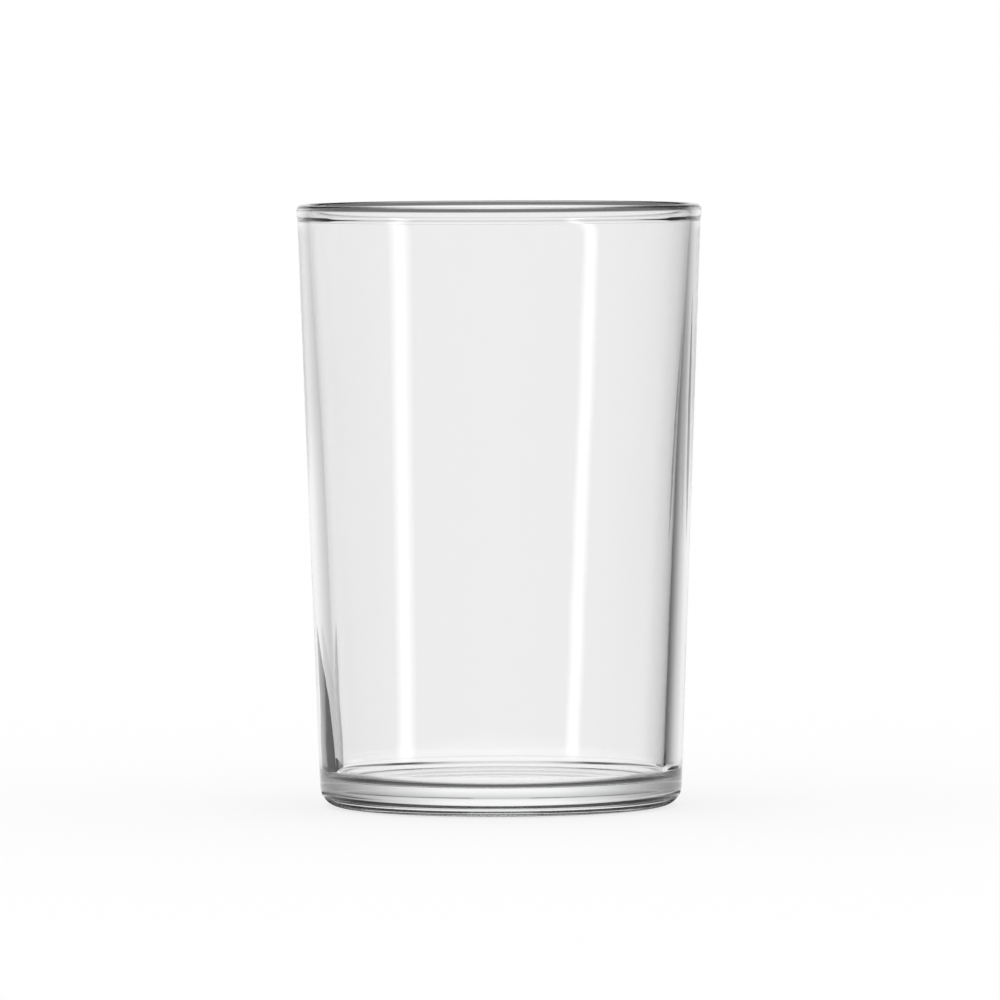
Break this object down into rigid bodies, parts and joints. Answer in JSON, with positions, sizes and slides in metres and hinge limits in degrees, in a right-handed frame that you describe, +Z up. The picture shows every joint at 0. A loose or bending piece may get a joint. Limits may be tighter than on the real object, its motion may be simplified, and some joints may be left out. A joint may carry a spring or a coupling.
{
  "type": "drinking glass",
  "caption": "Clear straight-sided tumbler with a slight taper, a rounded rim bead and a thick base with a rounded heel, for a short measure of seltzer.",
  "frame": {"origin": "middle of the plane that the glass stands on", "axes": "+Z up along the axis of the glass, towards the open rim; X and Y are any two sides of the round"},
  "size_m": [0.0602, 0.0602, 0.0895],
  "materials": {
    "clear_glass": "fire-polished"
  },
  "bodies": {
    "root": {"tumbler": "clear_glass"}
  },
  "joints": []
}
